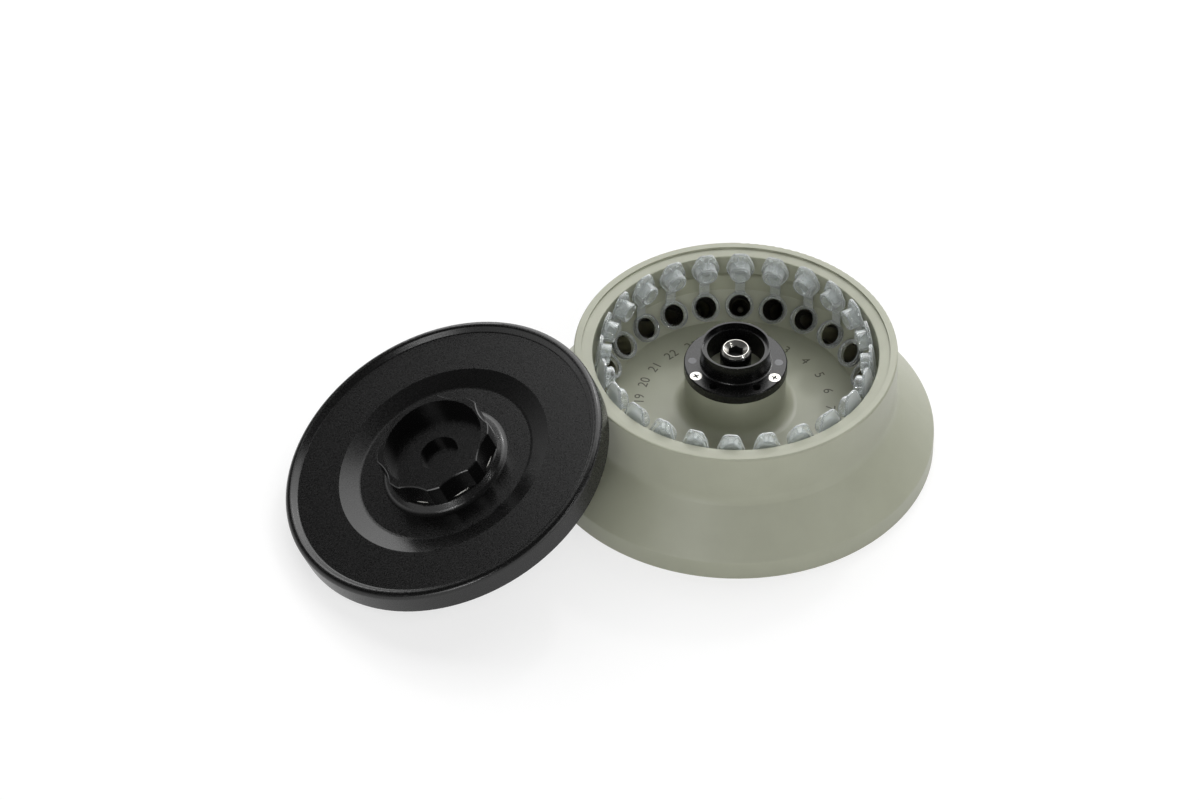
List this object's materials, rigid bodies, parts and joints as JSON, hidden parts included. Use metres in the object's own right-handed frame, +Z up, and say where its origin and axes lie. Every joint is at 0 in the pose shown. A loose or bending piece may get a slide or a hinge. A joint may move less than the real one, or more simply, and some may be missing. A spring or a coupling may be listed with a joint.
{
  "type": "fixed angle centrifuge rotor",
  "caption": "Fixed angle centrifuge rotor: a flared bowl with a ring of slanted open microtubes round a central hub, and its dished lid with a lobed knob leaning on the rim.",
  "frame": {"origin": "on the rotor's axis, at the plane of the flat ring that the rotor stands on", "axes": "+Z up along the rotor's axis, out of the open bowl; +Y towards the first tube place; the lid leans on the rotor's left"},
  "size_m": [0.292, 0.2224, 0.0665],
  "materials": {
    "coated_aluminium": "matt hard anodised",
    "black_aluminium": "black anodised",
    "steel": "machined",
    "seal_rubber": "matt",
    "washer_plastic": "smooth",
    "polypropylene": "translucent"
  },
  "bodies": {
    "rotor": {"rotor_body": "coated_aluminium", "hub_collar": "black_aluminium", "collar_screws": "steel", "locating_pins": "steel", "screw_sleeve": "black_aluminium", "lid_shell": "black_aluminium", "lid_seal": "seal_rubber", "knob_washer": "washer_plastic", "tube_01": "polypropylene", "tube_02": "polypropylene", "tube_03": "polypropylene", "tube_04": "polypropylene", "tube_05": "polypropylene", "tube_06": "polypropylene", "tube_07": "polypropylene", "tube_08": "polypropylene", "tube_09": "polypropylene", "tube_10": "polypropylene", "tube_11": "polypropylene", "tube_12": "polypropylene", "tube_13": "polypropylene", "tube_14": "polypropylene", "tube_15": "polypropylene", "tube_16": "polypropylene", "tube_17": "polypropylene", "tube_18": "polypropylene", "tube_19": "polypropylene", "tube_20": "polypropylene", "tube_21": "polypropylene", "tube_22": "polypropylene", "tube_23": "polypropylene", "tube_24": "polypropylene"},
    "knob": {"lid_knob": "black_aluminium", "knob_snap_ring": "steel"},
    "clamp_screw": {"clamp_screw": "steel", "screw_circlip": "steel"}
  },
  "joints": [
    {"name": "knob_turn", "type": "hinge", "parent": "rotor", "child": "knob", "pos_m": [-0.12655, -0.05503, 0.02849], "axis": [-0.3443, -0.1497, 0.9269], "continuous": true},
    {"name": "clamp_screw_turn", "type": "hinge", "parent": "rotor", "child": "clamp_screw", "pos_m": [0, 0, 0.05], "axis": [0, 0, 1], "continuous": true}
  ]
}
